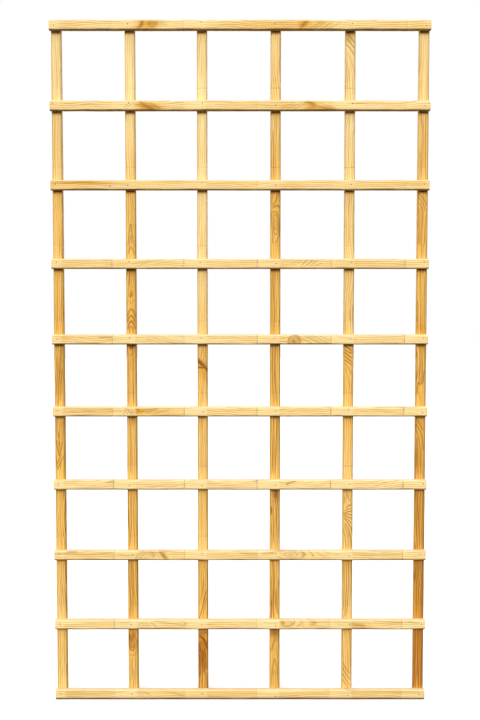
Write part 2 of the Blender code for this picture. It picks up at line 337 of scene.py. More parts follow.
# What the material reads at each point. Warmth = the look's course along the batten + mottle +
# stains + painted shade, browner, on a rail's underside and on a stile just under each rail.
# Painted shade, pale and stackLine = the most that any one corner, crossing or arris gives.
def battenFields(surface, halfDepth, isRail, look, crossings, corners, seed):
    s, a, d, _, towardA, towardD, sawn = surface
    phase, knots = growthRings(s, a, d + halfDepth, look, seed)
    warmth = np.interp(s / s[-1], np.linspace(0, 1, len(look["warmth"])), look["warmth"])
    warmth = warmth + tone["mottle"] * ripple(s, a + 1.3 * d, tone["mottleWave"], seed + 30)
    figure = tone["figure"][0 if isRail else 1]
    figure = figure + tone["figurePlay"] * ripple(s, a, tone["figureWave"], seed + 31)
    front, slope = asShare(-2 * towardD), tone["arrisSlope"]
    if isRail:
        # painted shade: the underside and lower arris are browner and darker
        lowerShade = look.get("lowerShade", 1)
        warmth = warmth + tone["underShadeWarmth"] * asShare(-towardA * 2 - 0.6) * (towardD < 0.1)
        # painted highlight on the upper arris
        paintedHighlight = tone["paintedHighlight"] * asShare(towardA * tone["highlightSlope"])
        paintedHighlight = paintedHighlight * uneven(tone["highlightPlay"], s / tone["highlightWave"], seed + 34)
        paintedShade = asShare(-slope * lowerShade * towardA) * asShare(-4 * towardD)
        paintedShade = paintedShade * uneven(tone["lowerShadePlay"], s / tone["lowerShadeWave"], seed + 33) * lowerShade
    else:
        paintedHighlight = 0 * a
        # painted shade on both front arrises, more on the right, and over the right third of the face
        left, right = tone["leftArrisShade"], tone["rightArrisShade"] + tone["warmArrisShade"] * warmth
        paintedShade = left * asShare(-slope * towardA) + right * asShare(slope * towardA)
        paintedShade = paintedShade + tone["shadyThird"] * asShare((a - tone["shadyFrom"]) / tone["shadyRise"])
        paintedShade = paintedShade * front
    for place, spot, reachS, reachA, more in look.get("stains", ()):
        warmth = warmth + more * bump(s, a, place, spot, reachS, reachA)
    for place, reach, more in look.get("figured", ()):
        figure = figure + more * bump(s, a, place, 0, reach, tone["figuredAcross"])
    # painted shade and painted shadow on a stile just under each rail
    for top in corners:
        below = np.clip(top - s, 0, None)
        warmth = warmth + tone["cornerShadeWarmth"] * np.exp(-below / tone["cornerReach"]) * (s < top)
        corner = tone["cornerShadow"] * np.exp(-below / tone["cornerShadowReach"]) * (s < top + 1)
        paintedShade = np.maximum(paintedShade, corner * front)
    pale, line = 0 * a, 0 * a
    rng = np.random.default_rng(seed + 40)
    for start, end, mark in crossings:
        strength, way = rng.uniform(0.4, 1.0), np.sign(end - start)    # no two are equally pale
        beyond = (s - start) * way
        stretch = asShare(beyond / tone["stackRise"] + 0.5)
        stretch = stretch * asShare((abs(end - start) - beyond) / tone["stackFade"])
        bands = look.get("bands", tone["bands"])
        pale = np.maximum(pale, bands * stretch * (0.5 + 0.5 * strength) + 0 * a)
        dark = mark * uneven(tone["linePlay"], a / tone["lineWave"] + start, seed + 41, 3)
        line = np.maximum(line, dark * np.exp(-((s - start) / tone["stackLine"]) ** 2))
        if isRail:    # painted shadow on its underside over a stile
            over = asShare((s - start - tone["stackMark"]) / 2 + 1) * asShare((end - s) / 2 + 1)
            under = (towardA < -0.8) * (towardD > -0.6)
            paintedShade = np.maximum(paintedShade, tone["cornerShadow"] * over * under)
    return {"rings": phase, "figure": figure, "grain": grainLines(s, a, look["lines"]),
            "warmth": warmth, "knot": knots, "pale": pale, "stackLine": line, "sawn": sawn + 0 * a,
            "paintedHighlight": paintedHighlight, "paintedShade": paintedShade}


def makeBatten(name, along, look, crossings, corners, nails, seed):
    low, high = boxes[name]
    across = 2 - along
    length = (high[along] - low[along]) / mm
    halfFace, halfDepth = (high - low)[across] / 2 / mm, (high - low)[1] / 2 / mm
    closeRuns = [closeRun(place, *batten["nailRows"]) for place, _ in nails]
    closeRuns += [closeRun(line, *batten["stackRows"]) for line, _, _ in crossings]
    closeRuns += [closeRun(top - batten["cornerBelow"], *batten["cornerRows"]) for top in corners]
    reach, step = batten["knotRows"]
    closeRuns += [closeRun(knot[0], reach * knot[2], step) for knot in look.get("knots", ())]
    reach, step = batten["steepRows"]
    for line in look["lines"]:
        places = [point[0] for point in line[2:]]
        half = np.ptp(places) / 2
        if half < batten["steepLine"] / 2:
            closeRuns.append(closeRun(min(places) + half, half + reach, step))
    rows = rowPlaces(length, closeRuns)
    surface = battenSurface(length, halfFace, halfDepth, rows, nails, seed)
    fields = battenFields(surface, halfDepth, along == 0, look, crossings, corners, seed)
    fields = {key: np.concatenate([value.ravel(), value[[0, -1], 0]]) for key, value in fields.items()}

    _, a, d, ends = surface[:4]
    points = np.zeros(a.shape + (3,))
    points[..., along] = low[along] + ends * mm
    points[..., across] = middles[name][across] + a * mm
    points[..., 1] = middles[name][1] + d * mm
    poles = np.tile(middles[name], (2, 1))
    poles[:, along] = points[0, :, along].mean(), points[-1, :, along].mean()
    return makePiece(name.replace("_", "Batten"), points, poles, fields)


# A closed skin over a grid of rows and columns: the columns close on themselves, and each end
# row is closed by a fan to its pole. The faces are turned outward by the sign of the volume.
def skin(rows, columns):
    row, column = np.meshgrid(np.arange(rows - 1), np.arange(columns), indexing="ij")
    after = (column + 1) % columns
    quads = np.stack([row * columns + column, row * columns + after,
                      (row + 1) * columns + after, (row + 1) * columns + column], -1)
    ring = np.arange(columns)
    ringAfter, last = (ring + 1) % columns, (rows - 1) * columns
    fans = [np.stack([0 * ring + rows * columns, ringAfter, ring], -1),
            np.stack([0 * ring + rows * columns + 1, last + ring, last + ringAfter], -1)]
    return quads.reshape(-1, 4), np.concatenate(fans)


def makePiece(name, grids, poles, fields=None, sharpAngle=35):
    grids = grids if isinstance(grids, list) else [grids]
    poles = poles if isinstance(poles, list) else [poles]
    vertices, quads, fans, start = [], [], [], 0
    for grid, ends in zip(grids, poles):
        gridQuads, gridFans = skin(*grid.shape[:2])
        vertices += [grid.reshape(-1, 3), ends]
        quads.append(gridQuads + start)
        fans.append(gridFans + start)
        start += grid.shape[0] * grid.shape[1] + 2
    vertices, quads, fans = np.concatenate(vertices), np.concatenate(quads), np.concatenate(fans)
    corners = np.concatenate([quads[:, [0, 1, 2]], quads[:, [0, 2, 3]], fans])
    first, second, third = (vertices[corners[:, i]] for i in range(3))
    if np.einsum("ij,ij->", first, np.cross(second, third)) < 0:
        quads, fans = quads[:, ::-1], fans[:, ::-1]
    mesh = bpy.data.meshes.new(name)
    mesh.from_pydata(vertices.tolist(), [], quads.tolist() + fans.tolist())
    for key, values in (fields or {}).items():
        mesh.attributes.new(key, "FLOAT", "POINT").data.foreach_set("value", values.astype(np.float32))
    mesh.update()
    mesh.shade_smooth()
    mesh.set_sharp_from_angle(angle=math.radians(sharpAngle))
    return addObject(name, mesh)


# How each rail looks, the top one first. Places are mm from its left end, and across its face from
# the middle, up positive.
# pith: where the heart of the log lay, across and behind the face; sway: how far it wanders.
# warmth: from 0, pale cream, over 0.5, honey, to 1, brown, in even steps from end to end.
# bands: how strong the paler stretches beside the crossings are that stacking sticks left.
# marks: the same for the dark line where each starts, crossing by crossing from the second on.
# knots: (place, across, radius, darkness).
# slants: rings that dive across the face, (place, reach, slope).
# stains: (place, across, reach along, reach across, how much warmer).
# figured: where the rings show less, as single lines stand there, (place, reach along, change).
# lowerShade: how strong the painted shade along its lower arris is, 1 if it isn't given.
# lines: the dark lines that grain and resin draw on the face, (half width, strength, then points).
railLooks = [
    {"pith": (34, 22), "ringWidth": 4.2, "warmth": (0.1, 0.08, 0.06, 0.34, 0.08, 0.12),
     "marks": (0.3, 0.3, 0, 0, 0.35),
     "stains": [(236, 2, 26, 13, 0.5), (221, 4, 6, 10, 0.35), (250, 4, 14, 9, 0.3),
                (609, 2, 13, 10, 0.45), (645, 2, 34, 10, 0.18), (885, 0, 22, 12, 0.14)],
     "figured": [(240, 34, -0.45), (650, 50, -0.35)],
     "lines": [
         (3.2, 0.63, (225, 9), (222, 1), (218, -4), (211, -10)),
         (4, 0.35, (241, 8), (240, 1), (244, -4)), (4.5, 0.35, (256, 8), (257, 2), (251, -3), (245, -8)),
         (6, 0.17, (236, 5), (256, 5)), (2.2, 0.35, (227, -11), (236, -10), (246, -12)),
         (1, 0.35, (266, 9), (271, 5), (279, 5)), (1, 0.3, (264, 4), (272, 1), (282, 2)),
         (1, 0.25, (259, -2), (269, -3), (284, -1)),
         (3.6, 0.56, (619, 10), (612, 5), (607, -1), (600, -6)),
         (1.1, 0.5, (624, -7), (636, -2), (648, 5), (654, 8)),
         (1, 0.45, (631, -9), (645, -4), (652, 2), (662, 6)),
         (1, 0.45, (648, -10), (659, -6), (665, 0), (677, 5)),
         (1, 0.4, (662, -10), (676, -6), (686, 0), (695, 4)), (1, 0.4, (636, 8), (650, 6), (657, 0)),
         (1, 0.25, (683, -10), (704, -6), (725, -4))]},
    {"pith": (32, 26), "ringWidth": 4.2, "warmth": (0.12, 0.1, 0.06, 0.28, 0.06, 0.08), "bands": 0.5,
     "marks": (0.1, 0.1, 0.2, 0, 0.1),
     "stains": [(236, -4, 26, 10, 0.6), (222, 5, 14, 7, 0.3), (258, -7, 24, 6, 0.25),
                (627, 3, 15, 9, 0.5), (655, -6, 30, 6, 0.4)],
     "figured": [(225, 40, -0.45), (630, 70, -0.4)],
     "lines": [
         (3, 0.56, (217, 8), (224, 2), (238, -5), (250, -10)),
         (2.2, 0.35, (206, 3), (218, 0), (230, -7)), (2, 0.35, (241, 6), (256, -2), (266, -9)),
         (1, 0.35, (178, -6), (186, 1), (193, 6)), (1, 0.3, (182, -8), (193, 0), (201, 6)),
         (3.2, 0.56, (611, 6), (618, 9), (628, 5), (636, -1)),
         (2.4, 0.32, (612, -10), (626, -5), (642, -2)),
         (2, 0.42, (636, 1), (654, -4), (672, -8), (687, -10)),
         (1, 0.45, (648, 6), (666, -1), (684, -6)), (1, 0.35, (555, -8), (570, 0), (588, 6)),
         (1, 0.35, (567, -9), (585, -1), (603, 5)), (1, 0.35, (582, -10), (597, -3), (611, 3))]},
    {"pith": (-38, 20), "ringWidth": 4.0, "warmth": (0.28, 0.14, 0.09, 0.08, 0.14, 0.18), "bands": 0.35,
     "marks": (0, 0, 0.35, 0.1, 0.25),
     "knots": [(143, -3, 1.0, 0.9)],
     "stains": [(80, 6, 70, 4, 0.3), (300, 8, 90, 4, 0.15), (890, 0, 18, 12, 0.14)],
     "lines": [
         (1.6, 0.35, (2, 3), (50, 6), (110, 4), (194, 1)), (1.6, 0.4, (29, 4), (59, 6), (104, 6))]},
    {"pith": (40, 12), "ringWidth": 4.2, "warmth": (0.14, 0.15, 0.05, 0.2, 0.15, 0.1), "bands": 0.7,
     "marks": (0.7, 0.7, 0.9, 0.5, 0.8),
     "stains": [(160, 0, 30, 6, 0.12)],
     "figured": [(612, 46, -0.5), (245, 50, -0.3)],
     "lines": [
         (1, 0.5, (124, 10), (135, 8), (143, 11)), (1, 0.4, (215, -2), (233, 3), (248, 8), (272, 10)),
         (1, 0.35, (194, -1), (224, 4), (239, 9)), (1, 0.25, (248, -1), (272, 4), (303, 5)),
         (0.9, 0.4, (584, -3), (592, -2), (601, 4), (607, 10)),
         (1, 0.75, (604, -4), (610, 1), (614, 6), (620, 10)),
         (1, 0.75, (614, -4), (622, 0), (627, 5), (634, 10)),
         (1, 0.6, (625, -6), (632, 0), (637, 4), (644, 8)), (1, 0.45, (634, -6), (643, -2), (655, 2)),
         (0.9, 0.35, (577, -1), (589, 4), (598, 9)), (1, 0.3, (555, -2), (583, -2))]},
    {"pith": (-34, 24), "ringWidth": 4.2, "warmth": (0.08, 0.12, 0.02, 0.16, 0.06, 0.06), "bands": 0.9,
     "marks": (0.6, 0.4, 0.8, 0.7, 0.9),
     "knots": [(587, -4, 14.5, 0.65)],
     "stains": [(587, -4, 16, 12, 0.2), (22, 0, 20, 12, 0.14)],
     "figured": [(640, 36, -0.5), (280, 40, -0.3)],
     "lines": [
         (1.3, 0.6, (114, 5), (129, 6), (145, 6)), (1, 0.5, (247, 3), (269, -2), (305, -10)),
         (1, 0.4, (229, 1), (253, -5), (272, -10)), (1, 0.35, (266, 5), (293, -2), (317, -6)),
         (1, 0.6, (613, 9), (629, 1), (650, -10)), (1, 0.5, (621, 10), (638, 1), (659, -10)),
         (1, 0.55, (632, 10), (650, 1), (669, -8)), (1, 0.45, (607, 3), (622, -5), (635, -11)),
         (1, 0.4, (647, 9), (662, 3), (675, -3)), (1, 0.3, (686, 10), (716, 3), (741, 0)),
         (1.3, 0.6, (588, 9), (597, 5), (600, -2)), (1.2, 0.45, (573, 0), (576, 4)),
         (2, 0.6, (585, -2), (588, -6))]},
    {"pith": (38, 20), "ringWidth": 4.4, "warmth": (0.1, 0.18, 0.08, 0.12, 0.07, 0.1), "bands": 0.9,
     "marks": (0.3, 0.9, 0.7, 0.9, 1.0),
     "stains": [(212, 2, 14, 8, 0.35), (250, -2, 46, 9, 0.25)],
     "figured": [(186, 16, -0.6), (232, 40, -0.4)],
     "lines": [
         (0.9, 0.4, (27, 8), (70, 6), (145, 7)), (0.9, 0.3, (40, 1), (94, 1), (174, 0)),
         (1.1, 0.7, (175, 9), (183, 4), (188, -2), (191, -8)),
         (1, 0.55, (180, 10), (189, 4), (194, -2), (197, -8)), (1, 0.6, (174, 3), (181, -2), (185, -8)),
         (1, 0.5, (171, -3), (177, -8)), (0.9, 0.35, (188, 10), (196, 3), (200, -4)),
         (2.4, 0.35, (203, 7), (211, 3), (204, -4)), (1.3, 0.6, (227, -2), (238, 5), (253, 9)),
         (1, 0.5, (233, -3), (244, 2), (259, 8)), (1, 0.45, (213, -2), (226, 6), (238, 9)),
         (1, 0.3, (247, -4), (265, 1), (286, 6))]},
    {"pith": (48, 26), "ringWidth": 4.2, "warmth": (0.05, 0.06, 0.06, 0.05, 0.02, 0.05), "bands": 0.8,
     "marks": (0.9, 0.8, 0.8, 1.0, 1.0),
     "stains": [(138, 7, 14, 2, 0.3), (578, 4, 14, 3, 0.3)],
     "lines": [
         (1.2, 0.8, (132, 8), (139, 9), (147, 8)), (0.8, 0.3, (117, 8), (131, 9)),
         (1.2, 0.8, (570, 1), (575, 5), (583, 8), (594, 9)), (1.6, 0.6, (570, 3), (573, 1)),
         (0.8, 0.3, (594, 9), (616, 11)), (1.4, 0.7, (494, 8), (499, 9))]},
    {"pith": (36, 18), "ringWidth": 4.6, "warmth": (0.12, 0.16, 0.1, 0.17, 0.08, 0.12), "sway": 2,
     "bands": 0.7, "marks": (0.5, 0.5, 0.4, 0.1, 0.7), "lowerShade": 1.15,
     "stains": [(150, 2, 60, 3, 0.15), (269, 1, 6, 14, 0.35), (245, 2, 8, 12, 0.15), (612, 4, 8, 8, 0.2)],
     "figured": [(235, 50, -0.6), (590, 70, -0.6)],
     "lines": [
         (0.9, 0.95, (32, 10), (43, 10), (57, 10)),
         (1.1, 0.5, (1, 4), (35, 5), (75, 2), (118, 4), (146, 9)),
         (1, 0.4, (158, 2), (179, -1), (201, 4)), (2, 0.35, (200, -8), (205, 2), (216, 8), (229, 8)),
         (2.2, 0.35, (210, -8), (214, -1), (221, 4), (230, 3), (237, -3)),
         (1.8, 0.28, (219, -9), (223, -3), (230, -6)), (2.6, 0.42, (235, 10), (243, 6), (246, -1)),
         (1, 0.3, (248, 10), (255, 2), (258, -6)), (3, 0.7, (259, 10), (265, 3), (277, -8)),
         (1, 0.4, (227, 9), (238, 4), (243, -5)),
         (1.1, 0.5, (532, 8), (547, 12), (572, 13), (594, 12), (609, 8)),
         (1.1, 0.45, (547, -3), (563, -9), (587, -9), (609, -3)),
         (2.4, 0.52, (602, 13), (611, 9), (615, 2), (608, -5)),
         (1.1, 0.5, (563, 5), (575, 9), (590, 8), (600, 2), (590, -4), (572, -4), (563, 5)),
         (1, 0.45, (575, 2), (584, 4), (587, 1), (578, 0), (575, 2)),
         (1.6, 0.5, (623, 12), (633, 6), (637, -2)), (1.1, 0.35, (638, 11), (652, 4), (667, -3)),
         (1.2, 0.5, (511, 4), (529, 7), (541, 4)), (1, 0.3, (655, 13), (676, 6), (701, 2)),
         (1.3, 0.5, (455, 7), (477, 4), (498, 4)), (1.1, 0.35, (732, 3), (793, 1), (855, 2)),
         (0.9, 0.25, (713, 11), (763, 6), (855, 5))]},
    {"pith": (-34, 20), "ringWidth": 4.6, "warmth": (0.07, 0.1, 0.1, 0.07, 0.16, 0.07), "sway": 2,
     "bands": 0.9, "marks": (0.7, 0.2, 0.3, 0.3, 0.6), "lowerShade": 1.4,
     "knots": [(322, 3, 1.3, 0.9), (544, 2, 1.0, 0.5)],
     "stains": [(572, 1, 22, 9, 0.22), (560, 5, 5, 5, 0.3), (637, 5, 12, 6, 0.22), (750, 0, 24, 4, 0.25)],
     "figured": [(222, 34, -0.6), (590, 60, -0.6)],
     "lines": [
         (1.1, 0.4, (156, 7), (172, 5), (187, 8)),
         (1.7, 0.29, (204, -4), (211, 4), (222, 6), (232, 2), (235, -6)),
         (1.7, 0.29, (214, -6), (219, 0), (226, -1), (228, -7)),
         (1.6, 0.4, (236, 6), (246, -1), (251, -6)),
         (1.1, 0.5, (243, 10), (267, 7), (298, 2), (326, -1)),
         (2.6, 0.49, (557, 7), (561, 9), (565, 6), (561, 3)),
         (1.3, 0.6, (559, 0), (570, -4), (583, -1), (591, 6), (590, 12)),
         (1, 0.45, (566, 10), (578, 11), (586, 7), (582, 1)),
         (1.2, 0.5, (602, 13), (608, 7), (603, -1), (597, -5)),
         (1.8, 0.32, (609, 10), (613, 6), (609, 0)), (2.6, 0.35, (631, 9), (640, 7), (642, 4), (631, 0)),
         (1, 0.4, (622, 13), (630, 10)), (2.4, 0.42, (727, 4), (745, 1), (764, -3)),
         (1.6, 0.4, (730, -1), (748, -3), (764, -4)), (1.1, 0.55, (785, 10), (813, 8), (856, 5)),
         (1, 0.35, (687, 8), (714, 7), (727, 4)), (1.2, 0.35, (514, 7), (532, 3), (548, 5)),
         (1.1, 0.45, (869, 10), (887, 5), (899, 4))]},
    {"pith": (-42, 22), "ringWidth": 4.2, "warmth": (0.18, 0.12, 0.24, 0.15, 0.16, 0.22), "sway": 2,
     "bands": 0.9, "marks": (0.1, 0.1, 0.2, 0, 0.2), "lowerShade": 2.1,
     "slants": [(240, 60, 0.2)],
     "figured": [(230, 50, -0.3)],
     "lines": [
         (1, 0.55, (5, 9), (61, 8), (117, 8), (179, 8)), (0.8, 0.3, (30, 4), (92, 3), (166, 5)),
         (1.1, 0.4, (198, 6), (216, 9), (235, 3)), (1, 0.35, (204, 1), (222, 5), (232, -1)),
         (1.1, 0.35, (257, 12), (291, 6), (319, -4)),
         (1.2, 0.55, (716, 12), (747, 8), (822, 9), (909, 7)), (0.9, 0.3, (782, 6), (828, 4), (906, 5)),
         (0.9, 0.25, (586, 6), (629, 7), (654, 6)),
         # the last, wide line is painted shade along the lower edge of the bottom rail's face
         (3, 0.75, (0, -9.4), (300, -9.8), (600, -9.3), (912, -9.6))]},
]
# The stiles, the left one first, in mm from the lower end, and across from the middle, right
# positive.
stileLooks = [
    {"pith": (34, 14), "ringWidth": 4.4, "warmth": (0.36, 0.36, 0.45, 0.58, 0.6, 0.48, 0.38, 0.16, 0.0),
     "marks": (0.2, 0.2, 0, 0, 0.1, 0, 0.1, 0.1, 0.1),
     "figured": [(620, 60, -0.5), (1450, 160, -0.35)],
     "lines": [
         (0.9, 0.29, (1597, -1), (1530, 1), (1467, -2)), (0.9, 0.4, (1435, 3), (1355, 1), (1279, 3)),
         (1, 0.4, (1435, -4), (1347, -6), (1279, -3)), (1, 0.34, (1062, -3), (989, -2), (904, -5)),
         (1.2, 0.45, (697, -7), (668, -8), (646, -10)), (1.2, 0.5, (690, 1), (662, 0), (640, -2)),
         (1.2, 0.45, (690, 9), (655, 6), (625, 3)), (1.3, 0.8, (645, -9), (625, -7), (603, -2)),
         (1.3, 0.75, (640, 5), (620, 3), (604, -2)), (1.3, 0.8, (642, -2), (628, -1)),
         (1.2, 0.6, (664, -3), (647, -4)), (1.2, 0.75, (603, 8), (586, -1), (570, -7)),
         (1.2, 0.7, (610, 4), (594, -3), (582, -9)), (1.2, 0.6, (608, -11), (588, -9), (570, -6)),
         (1.2, 0.5, (588, 2), (570, 0)), (1.1, 0.5, (629, -1), (614, 0), (606, -2)),
         (2, 0.55, (870, 5), (820, 1), (770, -2), (728, -4)),
         (1.6, 0.4, (850, -6), (800, -5), (750, -7)), (1.6, 0.5, (820, 6), (780, 4), (740, 2)),
         (1, 0.34, (518, 1), (452, -2), (373, 2)), (1, 0.34, (345, 2), (289, -2), (201, -1))]},
    {"pith": (-30, 20), "ringWidth": 4.6, "warmth": (0.58, 0.6, 0.5, 0.46, 0.48, 0.54, 0.4, 0.06, 0.0),
     "sway": 2, "marks": (0.2, 0.3, 0.5, 0, 0.4, 0, 0.1, 0.1, 0.1),
     "stains": [(900, 0, 60, 12, 0.1), (148, -3, 20, 10, 0.3), (62, 0, 48, 14, -0.25),
                (935, 0, 26, 9, 0.15), (868, 1, 10, 9, 0.15)],
     "figured": [(935, 40, -0.6), (145, 50, -0.5), (1140, 30, -0.4), (1450, 160, -0.35)],
     "lines": [
         (1.2, 0.69, (1123, 6), (1147, 3), (1179, 0), (1147, -4), (1123, -7)),
         (1.1, 0.57, (1123, 2), (1151, 0), (1123, -3)), (1, 0.4, (1235, 5), (1195, 3), (1155, 8)),
         (1.2, 0.69, (1097, 7), (1111, 5), (1116, 0), (1109, -5), (1097, -7)),
         (1.3, 0.57, (1058, -4), (1042, -3), (1022, -6)),
         (2, 0.69, (1008, 0), (1002, 2), (994, -1), (1000, -4)),
         (1.5, 0.75, (945, 9), (959, 6), (967, 0), (960, -6), (945, -9)),
         (1.5, 0.8, (933, 8), (945, 5), (950, -1), (943, -7), (933, -9)),
         (1.6, 0.86, (916, 8), (929, 6), (937, 0), (930, -6), (916, -8)),
         (1.4, 0.69, (906, 5), (920, 2), (924, -2), (916, -5), (906, -4)),
         (1, 0.34, (989, 7), (976, 1), (985, -7)), (2.6, 0.92, (877, 5), (868, 1), (875, -5)),
         (1.1, 0.57, (863, 7), (850, -2)), (1.1, 0.46, (860, -7), (839, -3), (814, -2)),
         (1.1, 0.52, (854, 5), (814, 3), (733, 5)), (1.1, 0.46, (839, -7), (790, -6), (728, -7)),
         (1.2, 0.57, (700, -6), (634, -2), (559, -3)), (1.5, 0.4, (518, -5), (443, -3), (381, -6)),
         (1, 0.38, (518, 3), (456, 2), (373, 5)), (8, 0.4, (1064, 0), (1052, 1)),
         (8, 0.4, (706, 3), (690, 3)), (1.4, 0.57, (345, -3), (293, 1), (197, -1)),
         (1.3, 0.57, (345, -8), (268, -6), (197, -7)),
         (1.2, 0.75, (141, -1), (136, 3), (128, 4), (119, 2), (116, -2), (121, -6), (130, -7),
          (138, -5), (141, -1)), (1.1, 0.7, (133, 0), (127, 1), (123, -2), (128, -4), (133, 0)),
         (1.3, 0.55, (166, -3), (154, 5), (140, 8), (122, 9)),
         (1.6, 0.3, (122, 9), (106, 5), (103, -2), (108, -8)),
         (1.4, 0.6, (140, -10), (128, -9), (117, -7)), (2.6, 0.8, (158, -10), (150, -9), (142, -10)),
         (4, 0.5, (160, 2), (150, -2), (143, -4)), (1.1, 0.45, (98, 4), (74, 6), (23, 5)),
         (1.1, 0.4, (96, -5), (60, -4), (40, -6)), (1.3, 0.45, (70, 0), (45, 1), (23, -1))]},
    {"pith": (40, 18), "ringWidth": 4.2, "warmth": (0.66, 0.6, 0.38, 0.36, 0.46, 0.14, 0.02, 0.0, 0.06),
     "marks": (0.5, 0.3, 0.4, 0.2, 0.4, 0.6, 0.4, 0.1, 0.1),
     "stains": [(824, -3, 13, 9, 0.15), (120, -2, 45, 14, 0.5), (128, -1, 7, 4, -0.35),
                (808, -1, 16, 12, 0.28), (455, -2, 34, 9, 0.12), (48, 3, 18, 9, -0.15)],
     "figured": [(822, 26, -0.4), (110, 60, -0.4), (215, 40, -0.4), (1450, 160, -0.3), (440, 80, -0.25)],
     "lines": [
         (2.8, 1, (850, -18), (838, -8), (828, 1), (819, 9), (810, 16)),
         (5, 1, (845, -20), (837, -9), (833, -4), (826, 3)), (1.8, 1, (823, -18), (822.5, -8), (821, 3)),
         (1, 0.4, (876, 2), (859, 0), (843, -7)), (1, 0.34, (863, 7), (843, 3), (834, -2)),
         (1, 0.34, (813, 5), (782, 1), (733, -1)), (1, 0.34, (700, -2), (642, -1), (559, -3)),
         (1, 0.34, (518, -3), (460, -2), (377, -5)),
         (1.2, 0.8, (268, 8), (243, 2), (218, -3), (197, -10)), (1, 0.57, (251, 9), (226, 3), (197, -2)),
         (1, 0.4, (301, 2), (268, -1), (234, -8)),
         (2.4, 0.95, (155, -9), (150, -3), (143, 3), (133, 7), (121, 9)), (10, 0.3, (128, -3), (74, -2)),
         (1.3, 0.9, (122, -6), (106, -2), (90, -4), (72, -3)), (1.2, 0.85, (118, -1), (104, 2), (84, 0)),
         (1.2, 0.85, (124, 2), (110, 6), (98, 4)), (1.2, 0.85, (101, -6), (90, 1), (74, 3), (60, 0)),
         (1.2, 0.8, (141, -6), (133, -1), (127, 5)), (1.1, 0.8, (134, -6), (127, -2), (122, 4)),
         (4, 0.45, (137, -9), (112, -9)), (2, 0.8, (133, -10), (122, -7), (114, -9)),
         (3, 0.75, (110, -9), (70, -8), (48, -9)), (1.4, 0.75, (96, 0), (62, -2), (10, -3)),
         (1.4, 0.75, (104, 7), (78, 4), (52, 5), (10, 3)), (1.6, 0.7, (112, 3), (92, 7), (68, 8)),
         (5, 0.45, (164, 6), (160, -6)), (1.2, 0.7, (166, 3), (160, 8)),
         (1.2, 0.6, (160, -8), (157, -2)), (2, 0.6, (60, 8), (10, 9)), (2, 0.5, (60, -8), (10, -9))]},
    {"pith": (32, 18), "ringWidth": 4.8, "warmth": (0.54, 0.55, 0.47, 0.56, 0.54, 0.5, 0.54, 0.32, 0.06),
     "sway": 2, "marks": (0.6, 0.5, 0.2, 0.4, 0.3, 0.1, 0.1, 0.1, 0.1),
     "stains": [(250, 3, 30, 7, 0.2), (1195, 0, 10, 9, 0.15), (1415, -5, 25, 8, -0.15),
                (118, 0, 20, 9, 0.12)],
     "figured": [(1160, 50, -0.6), (340, 50, -0.3), (110, 50, -0.4)],
     "lines": [
         (1, 0.4, (1435, -1), (1371, 2), (1279, -2)), (1.3, 0.46, (1395, -6), (1339, -4), (1279, -6)),
         (1.4, 0.69, (1245, 5), (1223, 0), (1217, -7)), (2.2, 0.69, (1211, 11), (1217, 3), (1211, -6)),
         (1.1, 0.69, (1199, -7), (1203, 1), (1189, 8), (1159, 10), (1135, 6), (1124, -1)),
         (1.1, 0.69, (1194, -4), (1194, 2), (1175, 6), (1151, 5), (1143, 0), (1155, -5), (1179, -6),
          (1194, -4)), (1.1, 0.63, (1185, -2), (1175, 2), (1159, 2), (1155, -1), (1167, -3), (1185, -2)),
         (1.1, 0.57, (1203, -10), (1175, -10), (1143, -6), (1124, -7)),
         (1.4, 0.52, (1062, -2), (1010, -3), (953, -1), (904, -2)),
         (1.2, 0.4, (1062, -7), (989, -8), (904, -7)), (1.4, 0.63, (880, 2), (823, -2), (728, 5)),
         (1.2, 0.52, (880, -6), (814, -7), (728, -3)), (1.4, 0.57, (700, 6), (634, 3), (559, -1)),
         (1.3, 0.57, (700, -3), (626, -4), (559, -7)),
         (1.2, 0.57, (514, 7), (493, 1), (468, -5), (423, -3), (373, 1)),
         (1.1, 0.52, (506, 10), (481, 4), (443, 2), (373, 7)),
         (1.2, 0.46, (435, -8), (402, -7), (373, -8)),
         (1.8, 0.57, (345, -5), (310, -2), (268, -2), (243, -6), (197, -1)),
         (1.8, 0.52, (268, 3), (239, 2), (209, 7)), (1.6, 0.57, (243, -8), (218, -7), (197, -9)),
         (1.5, 0.63, (171, 7), (150, 1), (116, -8)),
         (1.3, 0.55, (23, 10), (57, 7), (83, 4), (100, 0), (78, -4), (53, -7), (23, -10)),
         (1.2, 0.4, (23, 4), (53, 2), (74, -1), (49, -3), (23, -5)),
         (1.4, 0.65, (488, -9), (495, 0), (502, 9)), (1.2, 0.5, (482, -8), (488, 0), (495, 9)),
         (7, 0.4, (510, 1), (502, 3)), (7, 0.85, (524, 2), (500, 2)), (9, 0.8, (176, 0), (158, 1)),
         (5, 0.4, (160, 1), (143, 2)), (2.4, 0.75, (477, -9), (470, -8), (460, -9)),
         (2, 0.45, (476, 4), (445, 3), (419, 4))]},
    {"pith": (32, 22), "ringWidth": 4.6, "warmth": (0.42, 0.34, 0.38, 0.36, 0.46, 0.22, 0.14, 0.1, 0.24),
     "marks": (0.7, 0.6, 0.2, 0.1, 0.5, 0.6, 0.1, 0.1, 0.1),
     "stains": [(845, 0, 26, 12, 0.15), (1410, 0, 34, 12, -0.14), (945, 0, 40, 12, -0.12)],
     "figured": [(1605, 34, -0.5), (850, 40, -0.6), (460, 60, -0.6), (60, 30, -0.4)],
     "lines": [
         (1.2, 0.92, (1628, -9), (1619, -1), (1604, 9)), (1.1, 0.86, (1614, -10), (1605, -1), (1591, 9)),
         (1.1, 0.8, (1600, -10), (1590, 0), (1575, 9)), (1, 0.57, (1628, 1), (1620, 8)),
         (1, 0.4, (1581, -8), (1565, 2), (1542, 7)), (1, 0.34, (1557, -9), (1538, -4), (1514, -3)),
